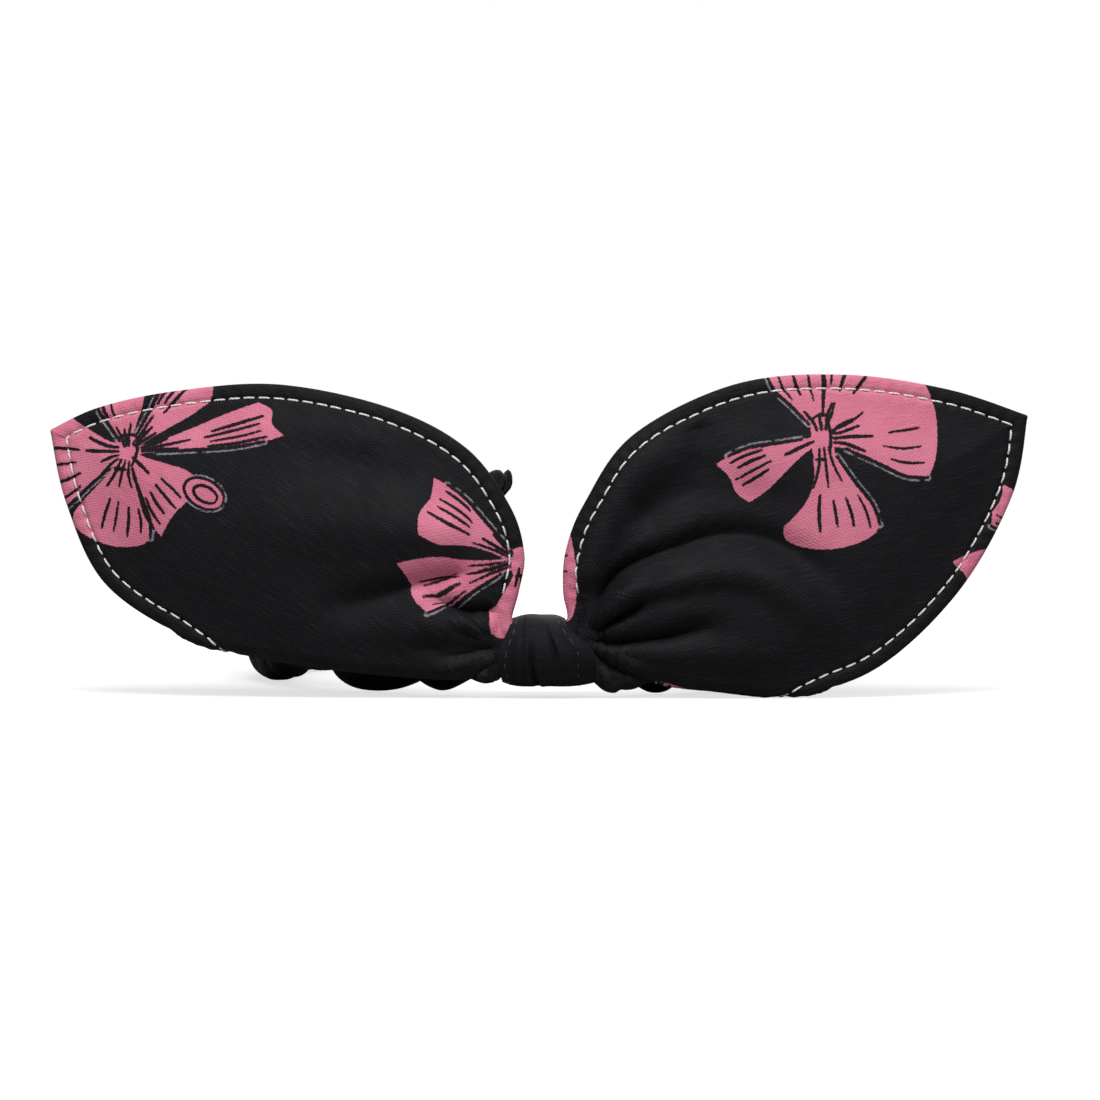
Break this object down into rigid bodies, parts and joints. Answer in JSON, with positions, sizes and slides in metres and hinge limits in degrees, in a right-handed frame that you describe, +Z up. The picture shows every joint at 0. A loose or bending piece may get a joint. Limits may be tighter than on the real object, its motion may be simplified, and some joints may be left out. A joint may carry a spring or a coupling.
{
  "type": "headband",
  "caption": "Wide fabric headband on a nape elastic, with a knotted bow whose two stiff pointed leaf ends stand up as animal ears.",
  "frame": {"origin": "on the surface it stands on, under the middle of the object's box", "axes": "+X from the left ear's tip to the right ear's tip as seen from the front, +Y back from the knot to the nape, +Z up"},
  "size_m": [0.1842, 0.1586, 0.0611],
  "materials": {
    "printed_cotton": "fine satin-faced weave, black with a pink print",
    "band_cotton": "fine black weave, gathered",
    "interlining": "non-woven, matt",
    "elastic": "braided, matt",
    "white_thread": "spun sewing thread",
    "black_thread": "spun sewing thread"
  },
  "bodies": {
    "band": {"band_cover": "band_cotton", "nape_sleeve": "band_cotton", "band_elastic": "elastic", "elastic_join_stitch": "black_thread", "cover_end_stitch_left": "black_thread", "cover_end_stitch_right": "black_thread"},
    "bow_knot": {"knot_wrap": "printed_cotton", "knot_crossing": "printed_cotton", "knot_wrap_stitch_left": "white_thread", "knot_wrap_stitch_right": "white_thread"},
    "left_ear": {"left_ear_front_panel": "printed_cotton", "left_ear_back_panel": "printed_cotton", "left_ear_interlining": "interlining", "left_ear_seam_allowance": "printed_cotton", "left_ear_edge_seam": "black_thread", "left_ear_front_topstitch": "white_thread", "left_ear_back_topstitch": "white_thread", "left_ear_neck": "printed_cotton"},
    "right_ear": {"right_ear_front_panel": "printed_cotton", "right_ear_back_panel": "printed_cotton", "right_ear_interlining": "interlining", "right_ear_seam_allowance": "printed_cotton", "right_ear_edge_seam": "black_thread", "right_ear_front_topstitch": "white_thread", "right_ear_back_topstitch": "white_thread", "right_ear_neck": "printed_cotton"}
  },
  "joints": [
    {"name": "knot_roll", "type": "hinge", "parent": "band", "child": "bow_knot", "pos_m": [0.00115, -0.06664, 0.00861], "axis": [1, 0, 0], "range_deg": [-10, 5]},
    {"name": "left_ear_swing", "type": "hinge", "parent": "bow_knot", "child": "left_ear", "pos_m": [-0.01105, -0.07424, 0.00861], "axis": [0, 0, 1], "range_deg": [-12, 80]},
    {"name": "right_ear_swing", "type": "hinge", "parent": "bow_knot", "child": "right_ear", "pos_m": [0.01335, -0.07424, 0.00861], "axis": [0, 0, -1], "range_deg": [-12, 80]}
  ]
}
